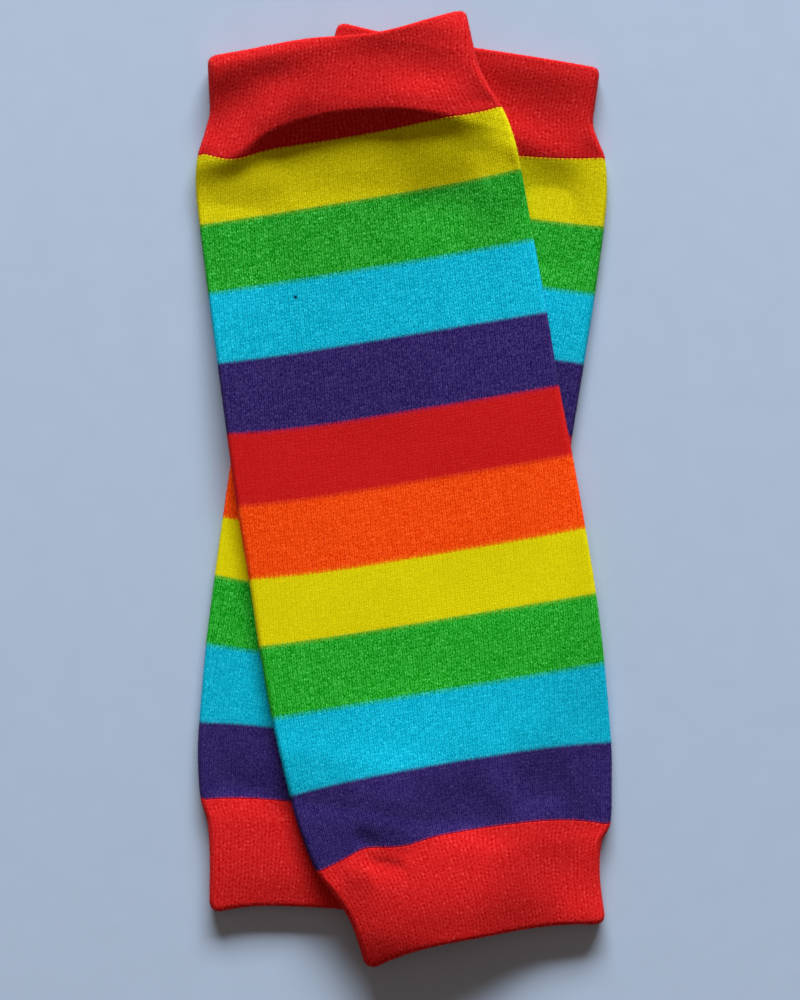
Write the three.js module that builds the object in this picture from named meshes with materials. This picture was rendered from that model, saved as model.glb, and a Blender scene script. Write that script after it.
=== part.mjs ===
// A pair of knitted leg warmers for a baby, lying crossed, one on the other, as in the photograph.
// Lengths are in mm. +Z is up from the floor, +Y is the top of the photograph and +X its right.
import * as THREE from 'three';

// Each leg warmer is a flattened open tube. A row is one section of it, read from its top hem down.
// along is the distance of the section's middle from the top hem, leftDrop and rightDrop are how much
// further down its two ends are, left and right are its folded edges, height is the thickness of the
// whole tube as it lies, and wall is the thickness of the cloth.
const columns = ['along', 'leftDrop', 'rightDrop', 'left', 'right', 'height', 'wall'];

const frontRows = [
  [0.5, -0.5, -1.4, -41.7, 41.1, 6.9, 1.8], // top hem
  [10.0, 0.0, -0.9, -42.9, 41.5, 5.2, 1.7], // face of the top cuff
  [18.0, -0.6, -0.9, -44.0, 42.2, 4.4, 1.8], // foot of its face
  [24.5, -1.3, -1.6, -46.8, 44.2, 4.4, 1.7], // slouch ridge
  [32.7, -3.6, -3.3, -49.9, 47.4, 4.4, 1.3], // seam of the top cuff, yellow starts
  [42.0, -2.5, -2.2, -52.1, 49.4, 4.1, 1.2], // middle of the yellow stripe
  [52.8, -0.9, -1.3, -52.9, 50.2, 3.6, 1.2], // green starts
  [74.7, -0.6, -0.6, -53.7, 50.6, 3.4, 1.2], // light blue starts
  [97.0, -0.9, 0.0, -54.3, 50.9, 3.4, 1.2], // purple starts
  [121.0, -2.2, -0.2, -55.0, 50.9, 3.4, 1.2], // red starts
  [143.3, -1.4, -0.3, -55.6, 51.5, 3.4, 1.2], // orange starts
  [166.7, -1.7, -0.5, -55.6, 51.8, 3.4, 1.2], // second yellow starts
  [187.2, -0.8, 0.0, -55.9, 51.8, 3.4, 1.2], // second green starts
  [209.5, 0.0, 0.0, -55.6, 50.9, 3.4, 1.2], // second light blue starts
  [231.8, 2.2, 2.4, -54.0, 49.0, 4.2, 1.2], // second purple starts
  [243.3, 3.2, 3.2, -52.4, 47.2, 4.3, 1.3], // middle of the second purple stripe
  [254.0, 4.9, 5.7, -49.6, 44.6, 4.2, 1.5], // seam of the bottom cuff
  [262.2, 3.8, 3.2, -46.1, 40.8, 4.8, 1.8], // neck of the bottom cuff
  [274.3, 2.5, 1.6, -41.5, 38.5, 5.3, 1.8], // face of the bottom cuff
  [287.8, 4.0, 2.5, -39.2, 37.9, 4.9, 1.8], // bottom hem
];

const backRows = [
  [0.7, -1.7, 0.2, -42.3, 42.2, 5.8, 1.8], // top hem
  [10.0, -0.3, 0.3, -42.7, 42.3, 5.0, 1.7], // face of the top cuff
  [18.5, -0.6, 0.0, -43.2, 42.6, 4.4, 1.7], // foot of its face
  [24.8, -1.3, -0.9, -46.1, 45.2, 4.4, 1.7], // slouch ridge
  [32.5, -3.5, -3.6, -49.3, 48.0, 4.4, 1.4], // seam of the top cuff, yellow starts
  [41.1, -2.2, -2.2, -51.5, 50.1, 4.0, 1.2], // middle of the yellow stripe
  [51.5, -0.9, -1.1, -52.8, 50.9, 3.5, 1.2], // green starts
  [72.7, -0.5, -0.5, -53.4, 51.2, 3.4, 1.2], // light blue starts
  [94.5, -0.6, -0.5, -53.7, 51.0, 3.4, 1.2], // purple starts
  [117.9, -0.6, -0.3, -54.3, 50.7, 3.4, 1.2], // red starts
  [139.0, -0.9, 0.0, -55.0, 50.9, 3.4, 1.2], // orange starts
  [159.9, -0.9, -0.3, -55.0, 50.9, 3.4, 1.2], // second yellow starts
  [178.2, -0.6, 0.0, -54.8, 51.0, 3.4, 1.2], // second green starts
  [199.7, 0.0, 0.0, -54.3, 50.6, 3.4, 1.2], // second light blue starts
  [221.8, 2.2, 1.9, -52.8, 49.0, 3.8, 1.2], // second purple starts
  [233.2, 2.5, 2.5, -51.5, 47.4, 4.3, 1.3], // middle of the second purple stripe
  [244.6, 3.5, 3.8, -48.8, 44.9, 4.1, 1.5], // seam of the bottom cuff
  [252.8, 2.5, 2.5, -45.5, 41.4, 4.6, 1.8], // neck of the bottom cuff
  [264.8, 1.6, 1.3, -43.1, 39.8, 4.6, 1.8], // face of the bottom cuff
  [277.4, 5.0, 0.9, -40.9, 39.2, 4.2, 1.8], // bottom hem
];

// The largest folds of the upper layer. across and along are the middle of a fold and halfLength its
// reach to either side. above and below are its half widths. turn is how much further down it runs for
// each mm to the right, arch how much further down its ends are, and rise its height, or its depth
// below zero.
const foldColumns = ['across', 'along', 'halfLength', 'above', 'below', 'turn', 'arch', 'rise'];

const frontFolds = [
  [-6.0, 24.3, 43.0, 12.0, 4.4, -0.01, 9.5, 3.8], // slouch ridge over the top cuff's seam
  [-42.0, 30.0, 16.0, 9.0, 10.0, 0.0, 0.0, 0.5], // its lower left end
  [31.0, 28.0, 18.0, 12.0, 16.0, 0.05, 0.0, 1.6], // its right end, sloping into the yellow
  [8.0, 10.0, 34.0, 14.0, 10.0, 0.0, 0.0, 1.7], // face of the top cuff, level with the ridge
  [-30.0, 4.5, 29.0, 6.0, 13.0, 0.0, 0.0, 2.6], // mouth of the top cuff, open at the left
  [-28.0, 246.0, 9.0, 12.0, 6.0, 0.3, 0.0, 0.7], // full part of the second purple, left
  [-2.0, 249.0, 9.0, 15.0, 5.0, 0.1, 0.0, -0.8], // soft hollow in the second purple, middle
  [25.0, 246.0, 9.0, 12.0, 5.0, -0.1, 0.0, -1.0], // soft hollow in the second purple, right
  [-33.0, 252.0, 4.0, 3.5, 3.5, 0.5, 0.0, -0.35], // pucker at the bottom cuff's seam
  [28.0, 286.0, 14.0, 12.0, 6.0, 0.0, 0.0, 0.8], // mouth of the bottom cuff, a little open at the right
];

const backFolds = [
  [15.0, 25.5, 10.0, 7.0, 4.5, 0.05, 1.0, 0.6], // slouch ridge beside the upper leg warmer
  [15.0, 36.0, 9.0, 5.0, 6.0, 0.1, 0.0, -0.35], // hollow in the yellow
  [-37.0, 240.0, 9.0, 12.0, 5.0, 0.1, 0.0, -0.9], // soft hollow in the second purple
];

// Where a hem or a seam runs further down by shift, or further up below zero, with its reach each way.
const waveColumns = ['across', 'along', 'reachAcross', 'reachAlong', 'shift'];

const frontWaves = [
  [14.0, 0.5, 20.0, 9.0, 2.1], // sag of the top hem
  [-41.0, 33.0, 9.0, 8.0, 2.8], // dip of the top cuff's seam, left
  [47.0, 31.0, 14.0, 8.0, 1.9], // the same, right
  [-35.0, 253.0, 6.0, 6.0, -1.3], // rise of the bottom cuff's seam
  [-21.0, 254.0, 7.0, 6.0, 1.1], // dip beside it
];

const backWaves = [
  [2.0, 277.0, 14.0, 8.0, -1.3], // rise of the bottom hem
];

// origin is the middle of the top hem on the floor, lean turns the foot of the tube to the right.
const front = { rows: frontRows, folds: frontFolds, waves: frontWaves, origin: [-21.0, 143.4], lean: 9.4 };
const back = { rows: backRows, folds: backFolds, waves: backWaves, origin: [20.5, 140.4], lean: -8.5 };

const seamGap = 0.3;
const restGap = 0.35;
const leastAir = 0.8;
const tightAir = 0.25;
const insideShare = 0.35;
const drapeReach = 30.0;
const drapeEnd = 1.5;
const bridge = 3.0;
const lipLength = 0.9;
const lipShare = 0.45;

const acrossSteps = 16;
const edgeSteps = 4;
const stepsPerRow = { cuff: 3, leg: 2.5 };
const halvings = 24;

function column(names, row, name) {
  return row[names.indexOf(name)];
}

// The value of a column between two rows, on a smooth curve through all of them.
function rowValue(rows, name, place) {
  const last = rows.length - 1;
  const start = Math.min(Math.max(Math.floor(place), 0), last - 1);
  const t = place - start;
  const at = (index) => column(columns, rows[Math.min(Math.max(index, 0), last)], name);
  const before = start > 0 ? at(start - 1) : 2 * at(0) - at(1);
  const after = start < last - 1 ? at(start + 2) : 2 * at(last) - at(last - 1);
  const from = at(start);
  const to = at(start + 1);
  const fromSlope = (to - before) / 2;
  const toSlope = (after - from) / 2;
  const bend = 2 * from - 2 * to + fromSlope + toSlope;
  const sag = -3 * from + 3 * to - 2 * fromSlope - toSlope;
  return ((bend * t + sag) * t + fromSlope) * t + from;
}

// The place in the rows, as a fractional index, that lies this far along the tube.
function placeAt(rows, along) {
  let low = 0;
  let high = rows.length - 1;
  for (let step = 0; step < halvings; step += 1) {
    const middle = (low + high) / 2;
    if (rowValue(rows, 'along', middle) < along) {
      low = middle;
    } else {
      high = middle;
    }
  }
  return (low + high) / 2;
}

function smoothStep(value) {
  const t = Math.min(Math.max(value, 0), 1);
  return t * t * (3 - 2 * t);
}

function foldRise(folds, across, along) {
  let total = 0;
  for (const fold of folds) {
    const of = (name) => column(foldColumns, fold, name);
    const sideways = (across - of('across')) / of('halfLength');
    const crest = of('along') + of('turn') * (across - of('across')) + of('arch') * sideways ** 2;
    const lengthways = (along - crest) / of(along < crest ? 'above' : 'below');
    total += of('rise') * Math.exp(-(sideways ** 4) - lengthways ** 2);
  }
  return total;
}

// How far right of its middle line a point at u lies, where u is -1 at the left edge and 1 at the right.
function acrossAt(rows, place, u) {
  const left = rowValue(rows, 'left', place);
  const right = rowValue(rows, 'right', place);
  return (left + right) / 2 + (u * (right - left)) / 2;
}

// The thickness of the tube at a place in the rows and at u.
// It is crowned, and least at the folded edges. The cloth doubles up in a ridge, so inside the tube
// only a share of a ridge shows.
function heightAt(warmer, place, u, inside = false) {
  const { rows, folds } = warmer;
  const rise = foldRise(folds, acrossAt(rows, place, u), rowValue(rows, 'along', place));
  const walls = 2 * rowValue(rows, 'wall', place);
  const edge = walls + leastAir;
  const crowned = edge + (rowValue(rows, 'height', place) - edge) * (1 - u ** 4);
  const raised = crowned + (inside && rise > 0 ? rise * insideShare : rise);
  return Math.max(raised, walls + tightAir);
}

function toWorld(warmer, across, along) {
  const lean = THREE.MathUtils.degToRad(warmer.lean);
  const x = warmer.origin[0] + across * Math.cos(lean) + along * Math.sin(lean);
  const y = warmer.origin[1] + across * Math.sin(lean) - along * Math.cos(lean);
  return [x, y];
}

function fromWorld(warmer, x, y) {
  const lean = THREE.MathUtils.degToRad(warmer.lean);
  const dx = x - warmer.origin[0];
  const dy = y - warmer.origin[1];
  return [dx * Math.cos(lean) + dy * Math.sin(lean), dx * Math.sin(lean) - dy * Math.cos(lean)];
}

// How much further down a section runs at u than at its middle.
function drop(warmer, place, u) {
  const { rows, waves } = warmer;
  const across = acrossAt(rows, place, u);
  const along = rowValue(rows, 'along', place);
  let total = rowValue(rows, u < 0 ? 'leftDrop' : 'rightDrop', place) * Math.abs(u) ** 3;
  for (const wave of waves) {
    const of = (name) => column(waveColumns, wave, name);
    const sideways = (across - of('across')) / of('reachAcross');
    const lengthways = (along - of('along')) / of('reachAlong');
    total += of('shift') * Math.exp(-(sideways ** 2) - lengthways ** 2);
  }
  return total;
}

// The height that cloth lying on a leg warmer bridges: the largest within a short way round.
function coverHeight(warmer, along, u) {
  const { rows } = warmer;
  const halfWidth = rowValue(rows, 'right', placeAt(rows, along));
  let cover = 0;
  for (const alongStep of [-bridge, 0, bridge]) {
    const place = placeAt(rows, along + alongStep);
    for (const acrossStep of [-bridge, 0, bridge]) {
      const near = Math.min(Math.max(u + acrossStep / halfWidth, -1), 1);
      cover = Math.max(cover, heightAt(warmer, place, near));
    }
  }
  return cover;
}

// How high the upper leg warmer is carried at a point: over the lower one, with a soft slope beside it.
function carriedHeight(x, y) {
  const [across, along] = fromWorld(back, x, y);
  const { rows } = back;
  const last = rows.length - 1;
  const nearPlace = placeAt(rows, along);
  const left = rowValue(rows, 'left', nearPlace);
  const right = rowValue(rows, 'right', nearPlace);
  const u = Math.min(Math.max((2 * across - left - right) / (right - left), -1), 1);
  const level = along - drop(back, nearPlace, u);
  const fromTop = along - rowValue(rows, 'along', 0) - drop(back, 0, u);
  const fromBottom = rowValue(rows, 'along', last) + drop(back, last, u) - along;
  const share = (distance) => smoothStep((distance + drapeReach) / (drapeReach - drapeEnd));
  const sides = share(across - left) * share(right - across);
  const ends = share(fromTop) * share(fromBottom);
  return sides * ends * (coverHeight(back, level, u) + restGap);
}

// One closed ring of a section as [x, y, z] points. inset moves it in from the outer surface.
function ring(warmer, place, inset, inside, carried) {
  const { rows } = warmer;
  const edge = (side) => {
    const radius = heightAt(warmer, place, side, inside) / 2;
    const outerRadius = heightAt(warmer, place, side) / 2;
    const centre = rowValue(rows, side < 0 ? 'left' : 'right', place) - side * outerRadius;
    return { radius, centre };
  };
  const leftEdge = edge(-1);
  const rightEdge = edge(1);
  const along = rowValue(rows, 'along', place);
  const points = [];
  const add = (across, u, height) => {
    const [x, y] = toWorld(warmer, across, along + drop(warmer, place, u));
    points.push([x, y, height]);
  };
  const base = (across, u) => {
    const [x, y] = toWorld(warmer, across, along + drop(warmer, place, u));
    return carried ? carriedHeight(x, y) : 0;
  };
  const faceAcross = (u) => leftEdge.centre + ((rightEdge.centre - leftEdge.centre) * (u + 1)) / 2;
  const addFace = (upper) => {
    for (let step = 0; step <= acrossSteps; step += 1) {
      const share = (2 * step) / acrossSteps - 1;
      const u = upper ? share : -share;
      const across = faceAcross(u);
      const height = upper ? heightAt(warmer, place, u, inside) - inset : inset;
      add(across, u, base(across, u) + height);
    }
  };
  const addEdge = (side) => {
    const { radius, centre } = side < 0 ? leftEdge : rightEdge;
    const floor = base(centre, side);
    for (let step = 1; step < edgeSteps; step += 1) {
      const turn = (Math.PI * step) / edgeSteps;
      const out = (radius - inset) * Math.sin(turn);
      const up = side * (radius - inset) * Math.cos(turn);
      add(centre + side * out, side, floor + radius + up);
    }
  };
  addFace(true);
  addEdge(1);
  addFace(false);
  addEdge(-1);
  return points;
}

// A piece of the tube between two places in the rows, as one closed wall.
function tubePiece(warmer, from, to, steps, lips) {
  const { rows } = warmer;
  const carried = warmer === front;
  const places = [];
  for (let step = 0; step <= steps; step += 1) {
    places.push(from + ((to - from) * step) / steps);
  }
  const lastRow = rows.length - 1;
  const spacing = (row) => rowValue(rows, 'along', row + 1) - rowValue(rows, 'along', row);
  if (lips.top) {
    places.splice(1, 0, lipLength / spacing(0));
  }
  if (lips.bottom) {
    places.splice(places.length - 1, 0, to - lipLength / spacing(lastRow - 1));
  }
  const outer = [];
  const inner = [];
  places.forEach((place, index) => {
    const wall = rowValue(rows, 'wall', place);
    const atLip = (lips.top && index === 0) || (lips.bottom && index === places.length - 1);
    const inset = atLip ? (wall * lipShare) / 2 : 0;
    outer.push(ring(warmer, place, inset, false, carried));
    inner.push(ring(warmer, place, wall - inset, true, carried));
  });
  const count = outer[0].length;
  const positions = [...outer, ...inner].flat(2);
  const faces = [];
  const quad = (a, b, c, d) => faces.push(a, b, c, a, c, d);
  const innerStart = places.length * count;
  for (let index = 0; index < count; index += 1) {
    const next = (index + 1) % count;
    for (let step = 0; step < places.length - 1; step += 1) {
      const here = step * count;
      const below = here + count;
      quad(here + index, below + index, below + next, here + next);
      const innerHere = innerStart + here;
      const innerBelow = innerStart + below;
      quad(innerHere + index, innerHere + next, innerBelow + next, innerBelow + index);
    }
    const end = (places.length - 1) * count;
    quad(index, next, innerStart + next, innerStart + index);
    quad(end + index, innerStart + end + index, innerStart + end + next, end + next);
  }
  const geometry = new THREE.BufferGeometry();
  geometry.setAttribute('position', new THREE.Float32BufferAttribute(positions, 3));
  geometry.setIndex(faces);
  geometry.computeVertexNormals();
  return geometry;
}

const topSeam = 4;
const bottomSeam = 16;

// The place that lies half a seam gap before or after a seam.
function besideSeam(rows, seam, side) {
  return placeAt(rows, rowValue(rows, 'along', seam) + (side * seamGap) / 2);
}

function addWarmer(group, warmer, name, colours) {
  const { rows } = warmer;
  const last = rows.length - 1;
  const pieces = [
    ['top_cuff', 0, besideSeam(rows, topSeam, -1), stepsPerRow.cuff, { top: true }],
    ['leg', besideSeam(rows, topSeam, 1), besideSeam(rows, bottomSeam, -1), stepsPerRow.leg, {}],
    ['bottom_cuff', besideSeam(rows, bottomSeam, 1), last, stepsPerRow.cuff, { bottom: true }],
  ];
  for (const [part, from, to, rate, lips] of pieces) {
    const steps = Math.round((to - from) * rate);
    const material = new THREE.MeshStandardMaterial({ color: colours[part], roughness: 0.9 });
    const mesh = new THREE.Mesh(tubePiece(warmer, from, to, steps, lips), material);
    mesh.name = `${name}_${part}`;
    group.add(mesh);
  }
}

const colours = { top_cuff: 0xd8202a, leg: 0x2aa63a, bottom_cuff: 0xd8202a };

const group = new THREE.Group();
addWarmer(group, back, 'back', colours);
addWarmer(group, front, 'front', colours);

// The middle of the pair's box is put over the origin.
const box = new THREE.Box3().setFromObject(group);
const middle = box.getCenter(new THREE.Vector3());
for (const mesh of group.children) {
  mesh.geometry.translate(-middle.x, -middle.y, -box.min.z);
}

export default group;
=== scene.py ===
"""A pair of striped, knitted leg warmers for a baby, lying crossed on a pale floor."""
import math

import bpy
import numpy as np
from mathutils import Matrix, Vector


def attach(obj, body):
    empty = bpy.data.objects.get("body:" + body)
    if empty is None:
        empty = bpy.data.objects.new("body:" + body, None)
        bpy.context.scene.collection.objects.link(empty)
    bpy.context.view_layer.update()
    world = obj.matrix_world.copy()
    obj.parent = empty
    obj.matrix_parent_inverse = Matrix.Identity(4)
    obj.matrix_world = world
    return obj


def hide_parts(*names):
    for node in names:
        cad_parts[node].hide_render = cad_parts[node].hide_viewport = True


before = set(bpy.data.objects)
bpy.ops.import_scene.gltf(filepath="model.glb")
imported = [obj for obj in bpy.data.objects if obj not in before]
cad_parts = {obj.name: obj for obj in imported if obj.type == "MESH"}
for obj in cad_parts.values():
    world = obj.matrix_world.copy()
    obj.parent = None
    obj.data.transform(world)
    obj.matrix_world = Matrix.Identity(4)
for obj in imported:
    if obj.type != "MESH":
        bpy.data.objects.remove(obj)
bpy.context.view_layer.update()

MM = 0.001

# Each leg warmer is a flattened open tube. A row is one section, read from its top hem down, in mm.
COLUMNS = ("along", "left_drop", "right_drop", "left", "right", "height", "wall")
FRONT_ROWS = np.array([
    (0.5, -0.5, -1.4, -41.7, 41.1, 6.9, 1.8),  # top hem
    (10.0, 0.0, -0.9, -42.9, 41.5, 5.2, 1.7),  # face of the top cuff
    (18.0, -0.6, -0.9, -44.0, 42.2, 4.4, 1.8),  # foot of its face
    (24.5, -1.3, -1.6, -46.8, 44.2, 4.4, 1.7),  # slouch ridge
    (32.7, -3.6, -3.3, -49.9, 47.4, 4.4, 1.3),  # seam of the top cuff, yellow starts
    (42.0, -2.5, -2.2, -52.1, 49.4, 4.1, 1.2),  # middle of the yellow stripe
    (52.8, -0.9, -1.3, -52.9, 50.2, 3.6, 1.2),  # green starts
    (74.7, -0.6, -0.6, -53.7, 50.6, 3.4, 1.2),  # light blue starts
    (97.0, -0.9, 0.0, -54.3, 50.9, 3.4, 1.2),  # purple starts
    (121.0, -2.2, -0.2, -55.0, 50.9, 3.4, 1.2),  # red starts
    (143.3, -1.4, -0.3, -55.6, 51.5, 3.4, 1.2),  # orange starts
    (166.7, -1.7, -0.5, -55.6, 51.8, 3.4, 1.2),  # second yellow starts
    (187.2, -0.8, 0.0, -55.9, 51.8, 3.4, 1.2),  # second green starts
    (209.5, 0.0, 0.0, -55.6, 50.9, 3.4, 1.2),  # second light blue starts
    (231.8, 2.2, 2.4, -54.0, 49.0, 4.2, 1.2),  # second purple starts
    (243.3, 3.2, 3.2, -52.4, 47.2, 4.3, 1.3),  # middle of the second purple stripe
    (254.0, 4.9, 5.7, -49.6, 44.6, 4.2, 1.5),  # seam of the bottom cuff
    (262.2, 3.8, 3.2, -46.1, 40.8, 4.8, 1.8),  # neck of the bottom cuff
    (274.3, 2.5, 1.6, -41.5, 38.5, 5.3, 1.8),  # face of the bottom cuff
    (287.8, 4.0, 2.5, -39.2, 37.9, 4.9, 1.8),  # bottom hem
])
BACK_ROWS = np.array([
    (0.7, -1.7, 0.2, -42.3, 42.2, 5.8, 1.8),  # top hem
    (10.0, -0.3, 0.3, -42.7, 42.3, 5.0, 1.7),  # face of the top cuff
    (18.5, -0.6, 0.0, -43.2, 42.6, 4.4, 1.7),  # foot of its face
    (24.8, -1.3, -0.9, -46.1, 45.2, 4.4, 1.7),  # slouch ridge
    (32.5, -3.5, -3.6, -49.3, 48.0, 4.4, 1.4),  # seam of the top cuff, yellow starts
    (41.1, -2.2, -2.2, -51.5, 50.1, 4.0, 1.2),  # middle of the yellow stripe
    (51.5, -0.9, -1.1, -52.8, 50.9, 3.5, 1.2),  # green starts
    (72.7, -0.5, -0.5, -53.4, 51.2, 3.4, 1.2),  # light blue starts
    (94.5, -0.6, -0.5, -53.7, 51.0, 3.4, 1.2),  # purple starts
    (117.9, -0.6, -0.3, -54.3, 50.7, 3.4, 1.2),  # red starts
    (139.0, -0.9, 0.0, -55.0, 50.9, 3.4, 1.2),  # orange starts
    (159.9, -0.9, -0.3, -55.0, 50.9, 3.4, 1.2),  # second yellow starts
    (178.2, -0.6, 0.0, -54.8, 51.0, 3.4, 1.2),  # second green starts
    (199.7, 0.0, 0.0, -54.3, 50.6, 3.4, 1.2),  # second light blue starts
    (221.8, 2.2, 1.9, -52.8, 49.0, 3.8, 1.2),  # second purple starts
    (233.2, 2.5, 2.5, -51.5, 47.4, 4.3, 1.3),  # middle of the second purple stripe
    (244.6, 3.5, 3.8, -48.8, 44.9, 4.1, 1.5),  # seam of the bottom cuff
    (252.8, 2.5, 2.5, -45.5, 41.4, 4.6, 1.8),  # neck of the bottom cuff
    (264.8, 1.6, 1.3, -43.1, 39.8, 4.6, 1.8),  # face of the bottom cuff
    (277.4, 5.0, 0.9, -40.9, 39.2, 4.2, 1.8),  # bottom hem
])
# The place of each stripe's start in the rows, from the first yellow to the end of the second purple.
STRIPE_PLACES = (4, 6, 7, 8, 9, 10, 11, 12, 13, 14, 16)
TOP_SEAM = 4
BOTTOM_SEAM = 16
LAST = len(FRONT_ROWS) - 1

# Folds of the upper layer, in mm along and across a leg warmer. rise is a height, or a depth below 0.
FOLD_COLUMNS = ("across", "along", "half_length", "above", "below", "turn", "arch", "rise")
FRONT_FOLDS = np.array([
    (-6.0, 24.3, 43.0, 12.0, 4.4, -0.01, 9.5, 3.8),  # slouch ridge over the top cuff's seam
    (-42.0, 30.0, 16.0, 9.0, 10.0, 0.0, 0.0, 0.5),  # its lower left end
    (31.0, 28.0, 18.0, 12.0, 16.0, 0.05, 0.0, 1.6),  # its right end, sloping into the yellow
    (8.0, 10.0, 34.0, 14.0, 10.0, 0.0, 0.0, 1.7),  # face of the top cuff, level with the ridge
    (-30.0, 4.5, 29.0, 6.0, 13.0, 0.0, 0.0, 2.6),  # mouth of the top cuff, open at the left
    (-28.0, 246.0, 9.0, 12.0, 6.0, 0.3, 0.0, 0.7),  # full part of the second purple, left
    (-2.0, 249.0, 9.0, 15.0, 5.0, 0.1, 0.0, -0.8),  # soft hollow in the second purple, middle
    (25.0, 246.0, 9.0, 12.0, 5.0, -0.1, 0.0, -1.0),  # soft hollow in the second purple, right
    (-33.0, 252.0, 4.0, 3.5, 3.5, 0.5, 0.0, -0.35),  # pucker at the bottom cuff's seam
    (28.0, 286.0, 14.0, 12.0, 6.0, 0.0, 0.0, 0.8),  # mouth of the bottom cuff, a little open at the right
])
BACK_FOLDS = np.array([
    (15.0, 25.5, 10.0, 7.0, 4.5, 0.05, 1.0, 0.6),  # slouch ridge beside the upper leg warmer
    (15.0, 36.0, 9.0, 5.0, 6.0, 0.1, 0.0, -0.35),  # hollow in the yellow
    (-37.0, 240.0, 9.0, 12.0, 5.0, 0.1, 0.0, -0.9),  # soft hollow in the second purple
])

# Small creases in the same columns, too slight for the solids.
FRONT_CREASES = np.array([
    (-6.0, 19.0, 43.0, 7.0, 6.5, -0.01, 9.5, 0.55),  # rounder top of the slouch ridge
    (-6.0, 28.5, 43.0, 3.0, 3.0, -0.01, 9.5, 0.4),  # rounder front of it
    (-40.0, 23.0, 10.0, 9.0, 7.0, 0.0, 0.0, -1.0),  # hollow before its left end
    (-32.0, 5.0, 16.0, 5.0, 6.0, 0.0, 0.0, 0.8),  # the cuff's face falls from its open mouth
    (-36.0, 29.0, 14.0, 9.0, 8.0, 0.2, 0.0, -0.7),  # the ridge flattens towards its left end
    (-42.0, 52.0, 15.0, 9.0, 30.0, 0.0, 0.0, -1.0),  # hollow in the yellow, left
    (25.0, 56.0, 12.0, 7.0, 12.0, -0.1, 0.0, -0.7),  # the same, at the start of the green
    (45.0, 38.0, 8.0, 8.0, 10.0, 0.0, 0.0, -0.7),  # the same, right
    (40.0, 82.0, 14.0, 22.0, 26.0, 0.0, 0.0, -0.5),  # shallow trough beside the right edge
    (-14.0, 128.0, 22.0, 14.0, 18.0, 0.1, 0.0, -0.25),  # faint trough across the red
    (18.0, 178.0, 20.0, 12.0, 16.0, -0.1, 0.0, -0.25),  # faint trough across the yellow
    (40.0, 226.0, 14.0, 18.0, 14.0, 0.0, 0.0, -0.4),  # shallow trough beside the right edge
    (-22.0, 241.0, 6.0, 9.0, 6.0, 0.3, 0.0, 0.35),  # gathers above the bottom cuff
    (3.0, 243.0, 6.0, 10.0, 6.0, 0.1, 0.0, -0.35),
    (12.0, 244.0, 4.0, 8.0, 5.0, 0.1, 0.0, 0.25),
    (26.0, 241.0, 8.0, 12.0, 8.0, -0.1, 0.0, -0.4),
    (-38.0, 259.0, 5.0, 4.0, 5.0, 0.4, 0.0, 0.5),  # fold at the bottom cuff's corner
    (-29.0, 259.3, 6.0, 2.2, 4.0, 0.3, 0.0, -0.55),
    (-5.0, 277.0, 38.0, 16.0, 9.0, 0.0, 0.0, 0.5),  # full face of the bottom cuff
    (36.0, 278.0, 9.0, 9.0, 6.0, 0.0, 0.0, -0.5),  # hollow at its right end
])
BACK_CREASES = np.array([
    (26.0, 5.5, 22.0, 4.0, 6.0, 0.0, 0.0, 0.5),  # curl of the top hem
    (31.0, 30.5, 11.0, 6.0, 4.5, 0.25, 0.0, 0.6),  # low ridge above the seam
    (30.0, 44.0, 12.0, 9.0, 14.0, 0.1, 0.0, -1.1),  # hollow below it
    (38.0, 56.0, 14.0, 14.0, 16.0, 0.0, 0.0, -0.8),  # trough beside the right edge
    (-32.0, 236.0, 8.0, 9.0, 6.0, 0.2, 0.0, 0.3),  # gather above the bottom cuff
    (-30.0, 268.0, 24.0, 12.0, 7.5, 0.0, 0.0, 0.5),  # the bottom cuff falls towards its hem
])
UNDER_CREASES = np.array([
    (5.0, 15.0, 18.0, 6.0, 6.0, 0.0, 0.0, 0.25),
    (-20.0, 60.0, 20.0, 10.0, 14.0, 0.1, 3.0, 0.3),
    (18.0, 130.0, 22.0, 12.0, 12.0, -0.1, 2.0, 0.3),
    (-10.0, 205.0, 24.0, 9.0, 12.0, 0.05, 0.0, 0.3),
    (15.0, 268.0, 18.0, 6.0, 8.0, 0.0, 0.0, 0.25),
])

# Where a hem or a seam runs further down by shift, with its reach each way, in mm.
WAVE_COLUMNS = ("across", "along", "reach_across", "reach_along", "shift")
FRONT_WAVES = (
    (14.0, 0.5, 20.0, 9.0, 2.1),  # sag of the top hem
    (-41.0, 33.0, 9.0, 8.0, 2.8),  # dip of the top cuff's seam, left
    (47.0, 31.0, 14.0, 8.0, 1.9),  # the same, right
    (-35.0, 253.0, 6.0, 6.0, -1.3),  # rise of the bottom cuff's seam
    (-21.0, 254.0, 7.0, 6.0, 1.1),  # dip beside it
)
BACK_WAVES = (
    (2.0, 277.0, 14.0, 8.0, -1.3),  # rise of the bottom hem
)

REST_GAP = 0.35
LEAST_AIR = 0.8
TIGHT_AIR = 0.25
INSIDE_SHARE = 0.35
DRAPE_REACH = 30.0
DRAPE_END = 1.5
BRIDGE = 3.0

# Columns of stitches round a tube, how wide one is in mm, and how far they lean.
WALES = 144
WALE_WIDTH = 1.47
WALE_TURN = math.radians(3.6)
COURSES_PER_STRIPE = 22.0

# Rounded ends of a piece, in mm. A hem's corners draw in by CORNER_SHARE of their radius.
SEAM_ROUND = 0.12
CORNER_ROUND = 2.6
CORNER_SHARE = 0.55
END_REACH = 0.8
END_STEPS = np.array([0.0, 0.07, 0.25, 0.55])
RIM_HALF_GAP = 0.02
NO_HEM = 99.0
# Each column of stitches stands out a little at a hem.
SCALLOP = 0.2
SCALLOP_REACH = 1.3

# How far up a piece's bake map its inner surface, its second rim and its outer surface lie.
BAKE_INNER = (0.01, 0.10)
BAKE_RIM_END = 0.11
BAKE_OUTER = 0.12

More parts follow.
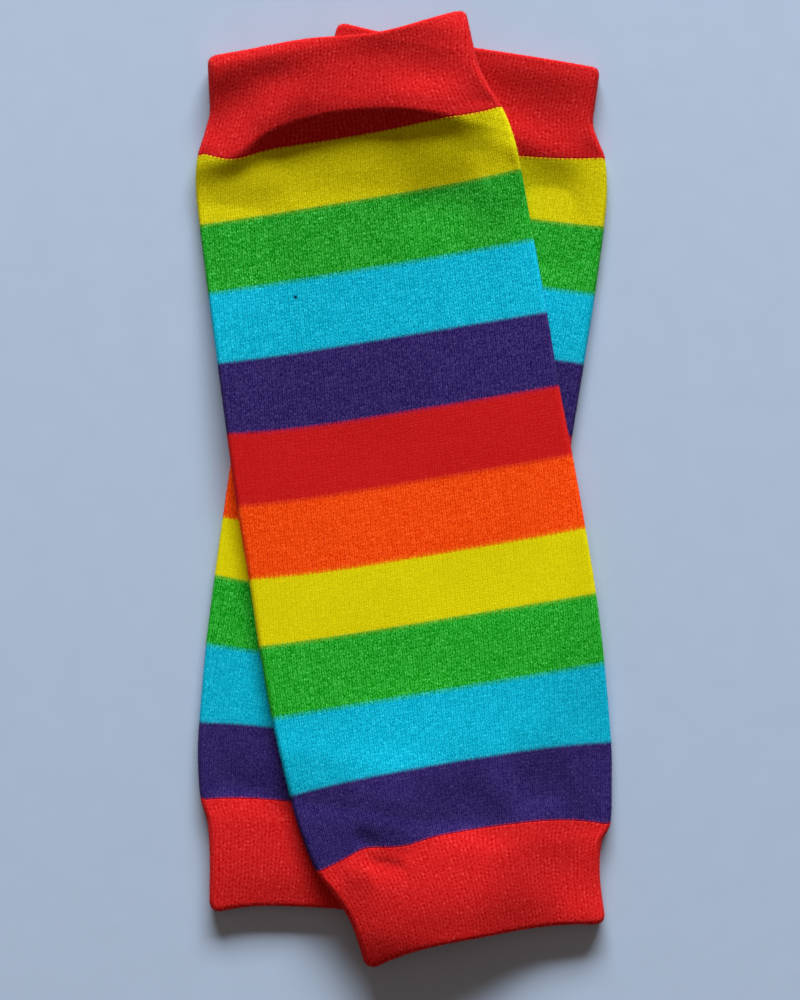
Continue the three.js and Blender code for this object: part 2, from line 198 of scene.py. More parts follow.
# Loose fibres, in mm, and how densely they stand on hems, folded edges and open faces.
FLUFF_LENGTH = 0.9
SHORTEST_FLUFF = 0.35
FLUFF_RADIUS = 0.022
FLUFF_TAPER = 0.8
FLUFF_LEAN = 0.99
FLUFF_RISE = 0.2
FLUFF_PER_MM2 = 1.3
FLUFF_SIDES = 3
HEM_REACH = 1.2
HEM_SHARE = 5.0
EDGE_SLOPE = 0.8
EDGE_SHARE = 2.5
OPEN_SHARE = 0.03
SKEW_AXIS = np.array([0.3, 0.5, 0.81])


def row_value(rows, name, place):
    """A column's value at a place in the rows, on a smooth curve through all of them."""
    values = rows[:, COLUMNS.index(name)]
    padded = np.concatenate(([2 * values[0] - values[1]], values, [2 * values[-1] - values[-2]]))
    place = np.asarray(place, dtype=float)
    start = np.clip(np.floor(place), 0, len(values) - 2).astype(int)
    t = place - start
    before, low, high, after = (padded[start + step] for step in range(4))
    low_slope = (high - before) / 2
    high_slope = (after - low) / 2
    bend = 2 * low - 2 * high + low_slope + high_slope
    sag = -3 * low + 3 * high - 2 * low_slope - high_slope
    return ((bend * t + sag) * t + low_slope) * t + low


def place_at(rows, along):
    """The place in the rows that lies this far along the tube."""
    places = np.linspace(0, len(rows) - 1, 4000)
    return np.interp(along, row_value(rows, "along", places), places)


def smooth_step(value):
    t = np.clip(value, 0, 1)
    return t * t * (3 - 2 * t)


def fold_rise(folds, across, along):
    total = np.zeros(np.broadcast(across, along).shape)
    for fold in folds:
        of = dict(zip(FOLD_COLUMNS, fold))
        sideways = (across - of["across"]) / of["half_length"]
        crest = of["along"] + of["turn"] * (across - of["across"]) + of["arch"] * sideways ** 2
        half_width = np.where(along < crest, of["above"], of["below"])
        total = total + of["rise"] * np.exp(-sideways ** 4 - ((along - crest) / half_width) ** 2)
    return total


class Warmer:
    """One leg warmer: its sections, its folds and where it lies."""

    def __init__(self, rows, folds, creases, waves, origin, lean):
        self.rows = rows
        self.folds = folds
        self.creases = creases
        self.waves = waves
        self.origin = origin
        self.cos = math.cos(math.radians(lean))
        self.sin = math.sin(math.radians(lean))

    def value(self, name, place):
        return row_value(self.rows, name, place)

    def across(self, place, u):
        left = self.value("left", place)
        right = self.value("right", place)
        return (left + right) / 2 + u * (right - left) / 2

    def drop(self, place, u):
        """How much further down a section runs at u than at its middle."""
        left = self.value("left_drop", place)
        right = self.value("right_drop", place)
        total = np.where(u < 0, left, right) * np.abs(u) ** 3
        for wave in self.waves:
            of = dict(zip(WAVE_COLUMNS, wave))
            sideways = (self.across(place, u) - of["across"]) / of["reach_across"]
            lengthways = (self.value("along", place) - of["along"]) / of["reach_along"]
            total = total + of["shift"] * np.exp(-sideways ** 2 - lengthways ** 2)
        return total

    def height(self, place, u, inside=False):
        """The thickness of the tube, crowned, and least at its folded edges."""
        across = self.across(place, u)
        along = self.value("along", place)
        rise = fold_rise(self.folds, across, along) + fold_rise(self.creases, across, along)
        walls = 2 * self.value("wall", place)
        edge = walls + LEAST_AIR
        crowned = edge + (self.value("height", place) - edge) * (1 - u ** 4)
        raised = crowned + (np.minimum(rise, rise * INSIDE_SHARE) if inside else rise)
        return np.maximum(raised, walls + TIGHT_AIR)

    def to_world(self, across, along):
        x = self.origin[0] + across * self.cos + along * self.sin
        y = self.origin[1] + across * self.sin - along * self.cos
        return x, y

    def from_world(self, x, y):
        dx = x - self.origin[0]
        dy = y - self.origin[1]
        return dx * self.cos + dy * self.sin, dx * self.sin - dy * self.cos


# The origins are those of the solids, moved so that the pair's box stands over the frame's origin.
front = Warmer(FRONT_ROWS, FRONT_FOLDS, FRONT_CREASES, FRONT_WAVES, (-21.0, 143.4), 9.4)
back = Warmer(BACK_ROWS, BACK_FOLDS, BACK_CREASES, BACK_WAVES, (20.5, 140.4), -8.5)


def cover_height(along, u):
    """The height that cloth lying on the lower leg warmer bridges: the largest within a short way."""
    half_width = back.value("right", place_at(back.rows, along))
    cover = np.zeros(np.shape(along))
    for along_step in (-BRIDGE, 0, BRIDGE):
        place = place_at(back.rows, along + along_step)
        for across_step in (-BRIDGE, 0, BRIDGE):
            near = np.clip(u + across_step / half_width, -1, 1)
            cover = np.maximum(cover, back.height(place, near))
    return cover


def carried_height(x, y):
    """How high the upper leg warmer is carried at a point by the lower one."""
    across, along = back.from_world(x, y)
    near_place = place_at(back.rows, along)
    left = back.value("left", near_place)
    right = back.value("right", near_place)
    u = np.clip((2 * across - left - right) / (right - left), -1, 1)
    level = along - back.drop(near_place, u)
    from_top = along - back.value("along", 0) - back.drop(0, u)
    from_bottom = back.value("along", LAST) + back.drop(LAST, u) - along

    def share(distance):
        return smooth_step((distance + DRAPE_REACH) / (DRAPE_REACH - DRAPE_END))

    sides = share(across - left) * share(right - across)
    ends = share(from_top) * share(from_bottom)
    return sides * ends * (cover_height(level, u) + REST_GAP)


def section_steps(top, edge, bottom):
    """For each point round a section: u, how far it stands out, its share of the height, its side."""
    top_u = np.linspace(-1, 1, top + 1)
    bottom_u = np.linspace(1, -1, bottom + 1)
    turn = np.pi * np.arange(1, edge) / edge
    u = np.concatenate([top_u, np.ones(edge - 1), bottom_u, -np.ones(edge - 1)])
    out = np.concatenate([0 * top_u, np.sin(turn), 0 * bottom_u, np.sin(turn)])
    up = np.concatenate([0 * top_u + 1, np.cos(turn), 0 * bottom_u - 1, -np.cos(turn)])
    return u, out, up


def section_grid(warmer, places, insets, corners, steps, inside=False):
    """Rings of points, one for each place, moved in by the insets and narrowed by the corners."""
    u, out, up = section_steps(*steps)
    place = places[:, None] + 0 * u
    inset = insets + 0 * u
    height = warmer.height(place, np.broadcast_to(u, place.shape), inside)
    left_radius = warmer.height(places, -1.0, inside)[:, None] / 2
    right_radius = warmer.height(places, 1.0, inside)[:, None] / 2
    left = (warmer.value("left", places) + warmer.height(places, -1.0) / 2 + corners)[:, None]
    right = (warmer.value("right", places) - warmer.height(places, 1.0) / 2 - corners)[:, None]
    across = left + (right - left) * (u + 1) / 2
    along = warmer.value("along", place) + warmer.drop(place, u)
    x, y = warmer.to_world(across, along)
    base = carried_height(x, y) if warmer is front else 0 * x
    radius = np.where(u < 0, left_radius, right_radius)
    on_edge = out > 0
    side = np.where(u < 0, -1.0, 1.0)
    across = across + np.where(on_edge, side * (radius - inset) * out, 0)
    x, y = warmer.to_world(across, along)
    edge_z = radius + (radius - inset) * up
    under = 0 if inside else fold_rise(UNDER_CREASES, across, warmer.value("along", place))
    face_z = np.where(up > 0, height - inset, inset + under)
    z = base + np.where(on_edge, edge_z, face_z)
    return np.stack([x, y, z], axis=-1)


def add_mesh(name, vertices, faces, uv_maps):
    """A mesh object from points in mm, with a UV map for each name in uv_maps."""
    mesh = bpy.data.meshes.new(name)
    mesh.from_pydata((vertices * MM).tolist(), [], faces)
    for uv_name, values in uv_maps.items():
        layer = mesh.uv_layers.new(name=uv_name)
        layer.data.foreach_set("uv", np.asarray(values, dtype=np.float32).ravel())
    mesh.polygons.foreach_set("use_smooth", np.ones(len(faces), dtype=bool))
    mesh.update()
    piece = bpy.data.objects.new(name, mesh)
    bpy.context.scene.collection.objects.link(piece)
    return piece


def lip_inset(distance, wall):
    """How far the surface draws in at this distance from a hem, on a half-round lip."""
    radius = wall / 2
    short = np.clip(radius - distance, 0, radius)
    return radius - np.sqrt(np.maximum(radius ** 2 - short ** 2, 0)) - RIM_HALF_GAP * (short / radius)


def round_off(distance, radius):
    """How far a quarter round of this radius draws in at this distance from an end."""
    short = np.clip(1 - distance / radius, 0, 1)
    return radius * (1 - np.sqrt(1 - short ** 2))


def piece_places(warmer, start, end, spacing):
    """Places along a piece, evenly spaced in mm, with more on its rounded ends."""
    first = warmer.value("along", start)
    last = warmer.value("along", end)
    count = int(round((last - first) / spacing))
    distances = np.linspace(first, last, count + 1)
    middle = distances[(distances > first + END_REACH) & (distances < last - END_REACH)]
    distances = np.concatenate([first + END_STEPS, middle, last - END_STEPS[::-1]])
    return place_at(warmer.rows, distances), distances


def stripe_count(warmer, distances):
    """How many stripes lie above a distance along the tube, with their fraction."""
    starts = [warmer.value("along", place) for place in STRIPE_PLACES]
    return np.interp(distances, starts, np.arange(len(starts)))


def unit(vectors):
    return vectors / np.linalg.norm(vectors, axis=-1, keepdims=True)


def fluff_mesh(name, outer, knit, from_hem):
    """Short bent fibres on the outer surface, most of them on its hem and folded edges."""
    around = np.roll(outer, -1, axis=1) - outer
    down = outer[1:] - outer[:-1]
    normals = np.cross(down, around[:-1])
    area = np.linalg.norm(normals, axis=-1)
    normals = unit(normals)
    by_edge = np.abs(normals[..., 2]) < EDGE_SLOPE
    by_hem = (from_hem[:-1] < HEM_REACH)[:, None]
    weight = area * np.where(by_hem, HEM_SHARE, np.where(by_edge, EDGE_SHARE, OPEN_SHARE))
    total = int(weight.sum() * FLUFF_PER_MM2)
    spread = np.random.default_rng(len(name) + total)
    cells = np.sort(spread.choice(weight.size, size=total, p=(weight / weight.sum()).ravel()))
    ring, index = np.unravel_index(cells, weight.shape)
    normal = normals[ring, index]
    root = outer[ring, index] + spread.random((total, 1)) * around[ring, index]
    root = root + spread.random((total, 1)) * down[ring, index]
    lean = unit(normal + FLUFF_LEAN * unit(spread.normal(size=(total, 3))))
    bend = unit(FLUFF_RISE * normal + unit(spread.normal(size=(total, 3))))
    length = FLUFF_LENGTH * spread.uniform(SHORTEST_FLUFF, 1.0, (total, 1))
    middle = root + lean * length / 2
    tip = middle + bend * length / 2
    side = unit(np.cross(lean, SKEW_AXIS))
    other = np.cross(lean, side)
    turns = [2 * math.pi * step / FLUFF_SIDES for step in range(FLUFF_SIDES)]
    corner = [(math.cos(turn) * side + math.sin(turn) * other) * FLUFF_RADIUS for turn in turns]
    low = [root - normal * FLUFF_RADIUS + step for step in corner]
    high = [middle + FLUFF_TAPER * step for step in corner]
    points = np.stack([*low, *high, tip], axis=1)
    points[..., 2] = np.maximum(points[..., 2], FLUFF_RADIUS)
    faces, bake_uv = fibre_faces(total)
    loops_per_fibre = len(bake_uv) // total
    knit_uv = np.repeat(knit[ring, index], loops_per_fibre, axis=0)
    return add_mesh(name, points.reshape(-1, 3), faces, {"OFBake": bake_uv, "Knit": knit_uv})


def fibre_faces(total):
    """The faces of closed, pointed fibres, and a place of its own for each face in the bake map."""
    cell = 1 / total
    width = cell / (FLUFF_SIDES + 1)
    root, middle, tip = 0.1, 0.5, 0.9
    faces = []
    bake_uv = []
    for fibre in range(total):
        low = (2 * FLUFF_SIDES + 1) * fibre
        high = low + FLUFF_SIDES
        for step in range(FLUFF_SIDES):
            nxt = (step + 1) % FLUFF_SIDES
            left = fibre * cell + step * width
            right = left + width
            faces.append((low + step, low + nxt, high + nxt, high + step))
            bake_uv.extend([(left, root), (right, root), (right, middle), (left, middle)])
            faces.append((high + step, high + nxt, high + FLUFF_SIDES))
            bake_uv.extend([(left, middle), (right, middle), ((left + right) / 2, tip)])
        left = fibre * cell + FLUFF_SIDES * width
        faces.append(tuple(reversed(range(low, high))))
        bake_uv.extend([(left, root), (left + 0.8 * width, root), (left + 0.4 * width, middle)])
    return faces, bake_uv


def tube_mesh(name, warmer, start, end, lip, spacing, steps, courses):
    """A closed wall: the outer surface, a coarser inner one and the two rims between them."""
    places, distances = piece_places(warmer, start, end, spacing)
    walls = warmer.value("wall", places)
    ends = {"top": distances - distances[0], "bottom": distances[-1] - distances}
    from_hem = ends.pop(lip) if lip else np.full(len(places), NO_HEM)
    from_seam = np.minimum.reduce(list(ends.values()))
    insets = np.maximum(lip_inset(from_hem, walls), round_off(from_seam, SEAM_ROUND))
    corners = round_off(from_hem, CORNER_ROUND) * CORNER_SHARE
    insets = insets[:, None]
    outer = section_grid(warmer, places, insets, corners, steps)
    rings, count = outer.shape[:2]
    keep = np.unique(np.concatenate([[0, 1, 2, 3], np.arange(4, rings - 4, 3), rings - 1 - np.arange(4)]))
    inner_steps = tuple(step // 2 for step in steps)
    inner_insets = (walls[:, None] - insets)[keep]
    inner = section_grid(warmer, places[keep], inner_insets, corners[keep], inner_steps, inside=True)
    inner_rings, inner_count = inner.shape[:2]

    lengths = np.linalg.norm(np.diff(outer, axis=1, append=outer[:, :1]), axis=-1)
    shares = np.concatenate([np.zeros((rings, 1)), np.cumsum(lengths, axis=1)], axis=1)
    shares = shares / shares[:, -1:]
    turn = math.tan(WALE_TURN) * (distances - distances[0])[:, None] / WALE_WIDTH
    wale = shares * WALES + turn
    valleys = (0.5 + 0.5 * np.cos(2 * math.pi * wale[:, :-1])) ** 2
    scallops = SCALLOP * valleys * np.exp(-(from_hem[:, None] / SCALLOP_REACH) ** 2)
    outer = section_grid(warmer, places, insets + scallops, corners, steps)
    course = courses(distances)[:, None] + 0 * wale
    bake_u = 0 * shares + np.linspace(0, 1, count + 1)
    passed = (distances - distances[0])[:, None] / (distances[-1] - distances[0])
    bake_v = BAKE_OUTER + (1 - BAKE_OUTER) * passed + 0 * wale

    inner_u = np.linspace(0, 1, inner_count + 1)
    inner_v = np.linspace(*BAKE_INNER, inner_rings)

    vertices = np.concatenate([outer.reshape(-1, 3), inner.reshape(-1, 3)])
    first_inner = rings * count
    faces = []
    knit_uv = []
    bake_uv = []
    for ring in range(rings - 1):
        here = ring * count
        below = here + count
        for index in range(count):
            nxt = (index + 1) % count
            faces.append((here + index, below + index, below + nxt, here + nxt))
            for row, col in ((ring, index), (ring + 1, index), (ring + 1, index + 1), (ring, index + 1)):
                knit_uv.append((wale[row, col], course[row, col]))
                bake_uv.append((bake_u[row, col], bake_v[row, col]))
    inner_course = courses(distances[keep])
    for ring in range(inner_rings - 1):
        here = first_inner + ring * inner_count
        below = here + inner_count
        for index in range(inner_count):
            nxt = (index + 1) % inner_count
            faces.append((here + index, here + nxt, below + nxt, below + index))
            for row, col in ((ring, index), (ring, index + 1), (ring + 1, index + 1), (ring + 1, index)):
                knit_uv.append((inner_u[col] * WALES, inner_course[row]))
                bake_uv.append((inner_u[col], inner_v[row]))
    rims = (
        (0, 0, False, 0.0, BAKE_INNER[0]),
        (rings - 1, inner_rings - 1, True, BAKE_INNER[1], BAKE_RIM_END),
    )
    for ring, inner_ring, flip, low, high in rims:
        here = ring * count
        inside = first_inner + inner_ring * inner_count
        outer_index = 0
        for index in range(inner_count):
            nxt = (index + 1) % inner_count
            target = round((index + 1) * count / inner_count)
            middle = (outer_index + target) // 2
            fan = [(here + step, here + (step + 1) % count, inside + (index if step < middle else nxt))
                   for step in range(outer_index, target)]
            uvs = [((step / count, low), ((step + 1) / count, low),
                    ((index if step < middle else index + 1) / inner_count, high))
                   for step in range(outer_index, target)]
            fan.insert(middle - outer_index, (here + middle % count, inside + nxt, inside + index))
            uvs.insert(middle - outer_index, ((middle / count, low), ((index + 1) / inner_count, high),
                                              (index / inner_count, high)))
            for face, uv in zip(fan, uvs):
                faces.append(face[::-1] if flip else face)
                ordered = uv[::-1] if flip else uv
                for point in ordered:
                    knit_uv.append((point[0] * WALES, course[ring, 0]))
                    bake_uv.append(point)
            outer_index = target
    piece = add_mesh(name, vertices, faces, {"OFBake": bake_uv, "Knit": knit_uv})
    fluff = fluff_mesh(name.replace("knit", "fluff"), outer, np.stack([wale, course], axis=-1), from_hem)
    return piece, fluff


# Colours are linear red, green and blue. The last number is how strongly the grain shows in a stripe.
CUFF_RED = (0.62, 0.012, 0.013)
STRIPES = (
    (*CUFF_RED, 0.1),  # edge of the top cuff
    (0.67, 0.61, 0.0012, 0.14),  # yellow, darker than the second yellow as painted shade below the top cuff's slouch ridge
    (0.015, 0.36, 0.02, 0.26),  # green, darker than the second green as painted shade
    (0.0015, 0.475, 0.69, 0.2),  # light blue
    (0.033, 0.019, 0.136, 0.14),  # purple
    (0.59, 0.011, 0.011, 0.05),  # red
    (0.95, 0.071, 0.0025, 0.14),  # orange
    (0.76, 0.69, 0.0012, 0.08),  # second yellow
    (0.016, 0.41, 0.022, 0.24),  # second green
    (0.0015, 0.475, 0.69, 0.18),  # second light blue
    (0.033, 0.019, 0.136, 0.11),  # second purple
    (*CUFF_RED, 0.1),  # edge of the bottom cuff
)
TOOTH_SOFTNESS = 0.45 / (COURSES_PER_STRIPE * len(STRIPES))
SCREEN_GAMMA = 2.2
PATCH_TONES = (0.94, 1.06)
KNIT_RELIEF = 0.3

# A dark speck on the upper light blue stripe, in mm across and along.
SPECK = (-26.5, 79.6)
SPECK_RADIUS = 0.55
SPECK_COLOUR = (0.004, 0.012, 0.06, 1.0)

# Painted shade: the cuffs' colour darkens towards the top of the pair, so the top cuffs are darker than the
# bottom ones. The change of tone for each metre up.
CUFF_PAINTED_SHADE_PER_METRE = -0.5
CUFF_TONE = 0.93


class Nodes:
    """Short calls that add and join the nodes of one material."""

    def __init__(self, name):
        self.material = bpy.data.materials.new(name)
        self.material.use_nodes = True
        self.tree = self.material.node_tree
        self.shader = self.tree.nodes["Principled BSDF"]

    def put(self, socket, value):
        if isinstance(value, bpy.types.NodeSocket):
            self.tree.links.new(value, socket)
        else:
            socket.default_value = value

    def math(self, operation, first, second=0.0, third=0.0, clamp=False):
        node = self.tree.nodes.new("ShaderNodeMath")
        node.operation = operation
        node.use_clamp = clamp
        for socket, value in zip(node.inputs, (first, second, third)):
            self.put(socket, value)
        return node.outputs[0]

    def uv(self, name):
        source = self.tree.nodes.new("ShaderNodeUVMap")
        source.uv_map = name
        split = self.tree.nodes.new("ShaderNodeSeparateXYZ")
        self.tree.links.new(source.outputs[0], split.inputs[0])
        return split.outputs[0], split.outputs[1]

    def combine(self, x, y, z=0.0):
        node = self.tree.nodes.new("ShaderNodeCombineXYZ")
        for socket, value in zip(node.inputs, (x, y, z)):
            self.put(socket, value)
        return node.outputs[0]

    def noise(self, vector, scale, detail=2.0, roughness=0.5):
        node = self.tree.nodes.new("ShaderNodeTexNoise")
        self.put(node.inputs["Vector"], vector)
        node.inputs["Scale"].default_value = scale
        node.inputs["Detail"].default_value = detail
        node.inputs["Roughness"].default_value = roughness
        return node.outputs[0]

    def random(self, vector):
        node = self.tree.nodes.new("ShaderNodeTexWhiteNoise")
        node.noise_dimensions = "2D"
        self.put(node.inputs["Vector"], vector)
        return node.outputs[0]

    def place(self):
        return self.tree.nodes.new("ShaderNodeTexCoord").outputs["Object"]

    def place_y(self):
        split = self.tree.nodes.new("ShaderNodeSeparateXYZ")
        self.tree.links.new(self.place(), split.inputs[0])
        return split.outputs[1]

    def vector(self, operation, first, second=(0.0, 0.0, 0.0)):
        node = self.tree.nodes.new("ShaderNodeVectorMath")
        node.operation = operation
        self.put(node.inputs[0], first)
        self.put(node.inputs[1], second)
        return node

    def flat_distance(self, middle):
        """How far a point is from the middle, seen from above."""
        offset = self.vector("SUBTRACT", self.place(), middle)
        flat = self.vector("MULTIPLY", offset.outputs[0], (1.0, 1.0, 0.0))
        return self.vector("LENGTH", flat.outputs[0]).outputs["Value"]

    def grained(self, colour, grain):
        """A colour lightened and darkened by the same step in each channel, as it is shown."""
        shown = self.power(colour, 1 / SCREEN_GAMMA)
        shown = self.vector("ADD", shown, self.combine(grain, grain, grain)).outputs[0]
        shown = self.vector("MAXIMUM", shown, (0.03, 0.03, 0.03)).outputs[0]
        return self.power(shown, SCREEN_GAMMA)

    def power(self, colour, exponent):
        node = self.tree.nodes.new("ShaderNodeGamma")
        self.put(node.inputs["Color"], colour)
        node.inputs["Gamma"].default_value = exponent
        return node.outputs[0]

    def spread(self, value, low, high):
        """A value from 0 to 1 as a factor from low to high."""
        return self.math("MULTIPLY_ADD", value, high - low, low)

    def scaled(self, colour, factor):
        node = self.tree.nodes.new("ShaderNodeVectorMath")
        node.operation = "SCALE"
        self.put(node.inputs[0], colour)
        self.put(node.inputs["Scale"], factor)
        return node.outputs[0]

    def mix(self, factor, first, second):
        node = self.tree.nodes.new("ShaderNodeMix")
        node.data_type = "RGBA"
        self.put(node.inputs[0], factor)
        self.put(node.inputs[6], first)
        self.put(node.inputs[7], second)
        return node.outputs[2]

    def steps(self, value, colours, soft):
        """Bands of equal width, one for each colour, from 0 to 1, and each colour's last number."""
        node = self.tree.nodes.new("ShaderNodeValToRGB")
        self.put(node.inputs[0], value)
        ramp = node.color_ramp
        ramp.elements[0].color = colours[0]
        ramp.elements[1].color = colours[-1]
        for index in range(1, len(colours)):
            change = index / len(colours)
            for at, colour in ((change - soft, colours[index - 1]), (change + soft, colours[index])):
                ramp.elements.new(at).color = colour
        return node.outputs[0], node.outputs[1]

    def bump(self, height, distance, strength):
        node = self.tree.nodes.new("ShaderNodeBump")
        node.inputs["Strength"].default_value = strength
        node.inputs["Distance"].default_value = distance
        self.put(node.inputs["Height"], height)
        return node.outputs[0]

    def finish(self, colour, normal, roughness, sheen, sheen_roughness):
        self.put(self.shader.inputs["Base Color"], colour)
        self.put(self.shader.inputs["Normal"], normal)
        self.shader.inputs["Roughness"].default_value = roughness
        self.shader.inputs["Specular IOR Level"].default_value = 0.03
        self.shader.inputs["Sheen Weight"].default_value = sheen
        self.shader.inputs["Sheen Roughness"].default_value = sheen_roughness
        return self.material


def jersey_material():
    """Plain knit in stripes: columns of V stitches, toothed where the colour changes."""
    n = Nodes("striped_jersey_knit")
    wale, course = n.uv("Knit")
    wander = n.noise(n.place(), 260.0, 3.0)
    wale = n.math("ADD", wale, n.spread(wander, -0.22, 0.22))
    across = n.math("FRACT", wale)
    off_middle = n.math("ABSOLUTE", n.math("MULTIPLY_ADD", across, 2.0, -1.0))
    skewed = n.math("SUBTRACT", course, n.math("MULTIPLY", off_middle, 0.6))
    stitch = n.math("FRACT", skewed)
    uneven = n.random(n.combine(n.math("FLOOR", wale), n.math("FLOOR", skewed)))
    fleece = n.noise(n.place(), 2000.0, 4.0, 0.7)
    yarn = n.noise(n.combine(n.math("MULTIPLY", wale, 5.5), n.math("MULTIPLY", course, 1.15)), 1.0, 3.0, 0.65)

    by_cuff = n.math("SUBTRACT", 1.0, n.math("MULTIPLY", course, 0.5), clamp=True)
    teeth = n.math("MULTIPLY", off_middle, n.math("MULTIPLY_ADD", by_cuff, 0.6, 0.3))
    tooth = n.math("SUBTRACT", course, teeth)
    tooth = n.math("ADD", tooth, n.spread(fleece, -0.7, 1.1))
    share = n.math("DIVIDE", n.math("ADD", tooth, COURSES_PER_STRIPE), COURSES_PER_STRIPE * len(STRIPES))
    colour, depth = n.steps(share, STRIPES, TOOTH_SOFTNESS)

    leg = n.math("SINE", n.math("MULTIPLY", stitch, math.pi))
    column = n.math("SINE", n.math("MULTIPLY", off_middle, math.pi))
    column = n.math("MULTIPLY_ADD", column, 0.5, n.math("MULTIPLY_ADD", off_middle, -0.25, 0.5))
    stitches = n.math("MULTIPLY", n.math("MULTIPLY_ADD", leg, 0.25, 0.75), column)
    height = n.math("MULTIPLY_ADD", fleece, 0.6, stitches)
    height = n.math("MULTIPLY_ADD", yarn, 0.6, height)
    normal = n.bump(height, KNIT_RELIEF * MM, 0.38)

    grain = n.math("ADD", n.spread(fleece, -1.4, 1.4), n.spread(yarn, -2.0, 2.0))
    grain = n.math("ADD", grain, n.spread(uneven, -0.16, 0.16))
    # The stitch pattern also darkens the grooves between stitches and lightens their tops: painted shade and
    # painted light at stitch scale.
    grain = n.math("ADD", grain, n.spread(stitches, -0.6, 0.34))
    patches = n.noise(n.place(), 28.0, 2.0)
    colour = n.scaled(colour, n.spread(patches, *PATCH_TONES))
    colour = n.grained(colour, n.math("MULTIPLY", grain, depth))
    speck_x, speck_y = front.to_world(*SPECK)
    from_speck = n.flat_distance((speck_x * MM, speck_y * MM, 0.0))
    speck = n.math("MULTIPLY_ADD", from_speck, -1.0 / (SPECK_RADIUS * MM), 1.5, clamp=True)
    return n.finish(n.mix(speck, colour, SPECK_COLOUR), normal, 0.95, 0.02, 0.5)


def cuff_material():
    """Mock rib: columns of small, upright pits, with painted shade in them, between raised stitches, some
    with a pale fleck.
    """
    n = Nodes("red_mock_rib_knit")
    wale, course = n.uv("Knit")
    wale = n.math("ADD", wale, n.spread(n.noise(n.place(), 300.0, 3.0), -0.5, 0.5))
    course = n.math("ADD", course, n.spread(n.noise(n.place(), 340.0, 3.0), -0.7, 0.7))
    fleece = n.noise(n.place(), 1400.0, 4.0, 0.7)

    def spots(shift, narrow, short):
        """A row of spots down each column, at its own height, and a random number for each spot."""
        moved = n.math("ADD", wale, shift)
        column = n.math("FLOOR", moved)
        down = n.math("ADD", n.math("MULTIPLY", course, 0.72), n.random(n.combine(column, shift)))
        dx = n.math("MULTIPLY_ADD", n.math("FRACT", moved), 2.0, -1.0)
        dy = n.math("MULTIPLY_ADD", n.math("FRACT", down), 2.0, -1.0)
        reach = n.math("MULTIPLY_ADD", n.math("MULTIPLY", dx, dx), narrow,
                       n.math("MULTIPLY", n.math("MULTIPLY", dy, dy), short))
        spot = n.math("EXPONENT", n.math("MULTIPLY", reach, -1.0))
        return spot, n.random(n.combine(column, n.math("FLOOR", down)))

    pit, pit_depth = spots(0.0, 4.0, 2.2)
    pit = n.math("MULTIPLY", pit, n.spread(pit_depth, 0.2, 1.0))
    fleck, fleck_share = spots(0.5, 4.0, 4.0)
    fleck = n.math("MULTIPLY", fleck, n.math("POWER", fleck_share, 3.0))
    height = n.math("MULTIPLY_ADD", pit, -0.8, 1.0)
    height = n.math("MULTIPLY_ADD", fleece, 0.7, height)
    normal = n.bump(height, KNIT_RELIEF * MM, 0.22)
    patches = n.noise(n.place(), 30.0, 2.0)
    # painted shade: the cuff colour grows darker towards the top of the pair
    painted_shade = n.math("MULTIPLY_ADD", n.place_y(), CUFF_PAINTED_SHADE_PER_METRE, CUFF_TONE)
    tone = n.math("MULTIPLY", n.spread(patches, *PATCH_TONES), painted_shade)
    # The pits are darkened in colour: painted shade in the pits.
    grain = n.math("ADD", n.spread(pit, 0.02, -0.085), n.spread(fleece, -0.16, 0.16))
    grain = n.math("MULTIPLY_ADD", fleck, 0.13, grain)
    return n.finish(n.grained(n.scaled(CUFF_RED, tone), grain), normal, 0.95, 0.03, 0.5)


jersey = jersey_material()
cuff = cuff_material()

LEG_STEPS = ((150, 10, 40))
LEG_SPACING = 0.8
CUFF_STEPS = ((288, 10, 216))
CUFF_SPACING = 0.6
SEAM = 0.02
CUFF_COURSES_PER_MM = 1.06


def beside_seam(warmer, seam, side):
    return place_at(warmer.rows, warmer.value("along", seam) + side * SEAM / 2)


def dress(warmer, name):
    """Knit over one leg warmer's three solids."""
    first = float(warmer.value("along", 0))
    seams = [float(warmer.value("along", seam)) for seam in (TOP_SEAM, BOTTOM_SEAM)]
    last = float(warmer.value("along", LAST))
    pieces = (
        ("top_cuff", 0, beside_seam(warmer, TOP_SEAM, -1), "top", first, seams[0]),
        ("leg", beside_seam(warmer, TOP_SEAM, 1), beside_seam(warmer, BOTTOM_SEAM, -1), None, *seams),
        ("bottom_cuff", beside_seam(warmer, BOTTOM_SEAM, 1), LAST, "bottom", seams[1], last),
    )
    for part, start, end, lip, top, bottom in pieces:
        is_leg = part == "leg"
        if is_leg:
            def courses(distances):
                return stripe_count(warmer, distances) * COURSES_PER_STRIPE
        else:
            def courses(distances):
                return (distances - first) * CUFF_COURSES_PER_MM
        steps = LEG_STEPS if is_leg else CUFF_STEPS
        spacing = LEG_SPACING if is_leg else CUFF_SPACING
        piece, fluff = tube_mesh(f"{name}_{part}_knit", warmer, start, end, lip, spacing, steps, courses)
        for thing in (piece, fluff):
            thing.data.materials.append(jersey if is_leg else cuff)
            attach(thing, "root")
        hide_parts(f"{name}_{part}")
        places = np.linspace(0, 1, 9) * (end - start) + start
        widths = warmer.value("right", places) - warmer.value("left", places)


dress(back, "back")
dress(front, "front")

# The floor, and the light of a broad window beyond the top of the pair, in metres and watts.
FLOOR_SIZE = 6.0
FLOOR_COLOUR = (0.445, 0.565, 0.74)
WINDOW_PLACE = (0.3, 4.15, 1.43)
WINDOW_SIZE = (3.4, 1.0)
WINDOW_POWER = 490.0
WINDOW_COLOUR = (0.97, 0.985, 1.0)
ROOM_COLOUR = (1.0, 0.73, 0.58, 1.0)
ROOM_STRENGTH = 0.155

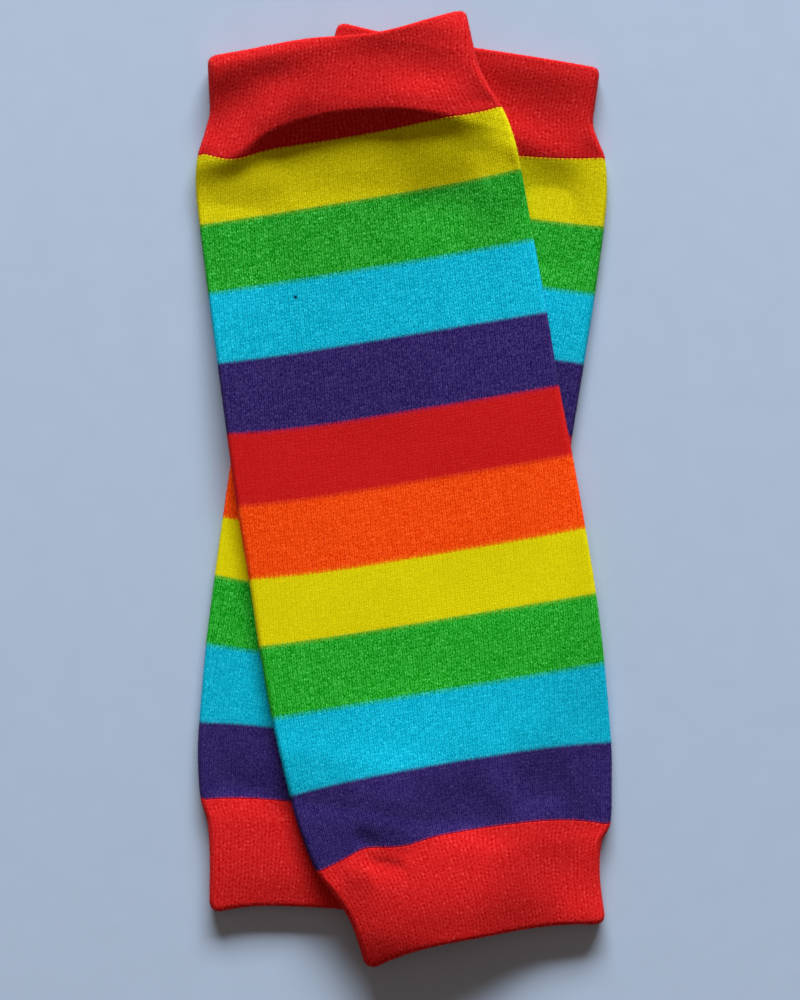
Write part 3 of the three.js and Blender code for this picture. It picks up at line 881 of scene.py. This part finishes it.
bpy.ops.mesh.primitive_plane_add(size=FLOOR_SIZE, location=(0.0, 0.0, 0.0))
floor = bpy.context.object
floor.name = "floor"
paper = Nodes("pale_paper")
grain = paper.noise(paper.place(), 90.0, 3.0)
paper.finish(paper.scaled(FLOOR_COLOUR, paper.spread(grain, 0.97, 1.03)),
             paper.bump(grain, 0.1 * MM, 0.2), 0.8, 0.0, 0.5)
floor.data.materials.append(paper.material)


def aim(thing, target):
    thing.rotation_euler = (Vector(target) - thing.location).to_track_quat("-Z", "Y").to_euler()


def area_light(name, location, size, energy, colour):
    light = bpy.data.lights.new(name, "AREA")
    light.shape = "RECTANGLE"
    light.size, light.size_y = size
    light.energy = energy
    light.color = colour
    thing = bpy.data.objects.new(name, light)
    thing.location = location
    bpy.context.scene.collection.objects.link(thing)
    aim(thing, (0.0, 0.0, 0.0))


area_light("window", WINDOW_PLACE, WINDOW_SIZE, WINDOW_POWER, WINDOW_COLOUR)

world = bpy.data.worlds.new("room")
bpy.context.scene.world = world
world.use_nodes = True
background = world.node_tree.nodes["Background"]
background.inputs["Color"].default_value = ROOM_COLOUR
background.inputs["Strength"].default_value = ROOM_STRENGTH

# The camera looks straight down, and gives PIXELS_PER_MM at SCALE_HEIGHT above the floor.
PIXELS_PER_MM = 3.165
IMAGE = (800, 1000)
SCALE_CENTRE = (404.0, 489.5)
CAMERA_HEIGHT = 0.8
SCALE_HEIGHT = 0.004
SENSOR = 24.0
camera_data = bpy.data.cameras.new("camera")
camera = bpy.data.objects.new("camera", camera_data)
camera.location = ((IMAGE[0] / 2 - SCALE_CENTRE[0]) / PIXELS_PER_MM * MM,
                   (SCALE_CENTRE[1] - IMAGE[1] / 2) / PIXELS_PER_MM * MM, CAMERA_HEIGHT)
camera_data.sensor_fit = "VERTICAL"
camera_data.sensor_height = SENSOR
camera_data.lens = SENSOR * (CAMERA_HEIGHT - SCALE_HEIGHT) / (IMAGE[1] / PIXELS_PER_MM * MM)
bpy.context.scene.collection.objects.link(camera)
bpy.context.scene.camera = camera
bpy.context.scene.view_settings.view_transform = "Standard"
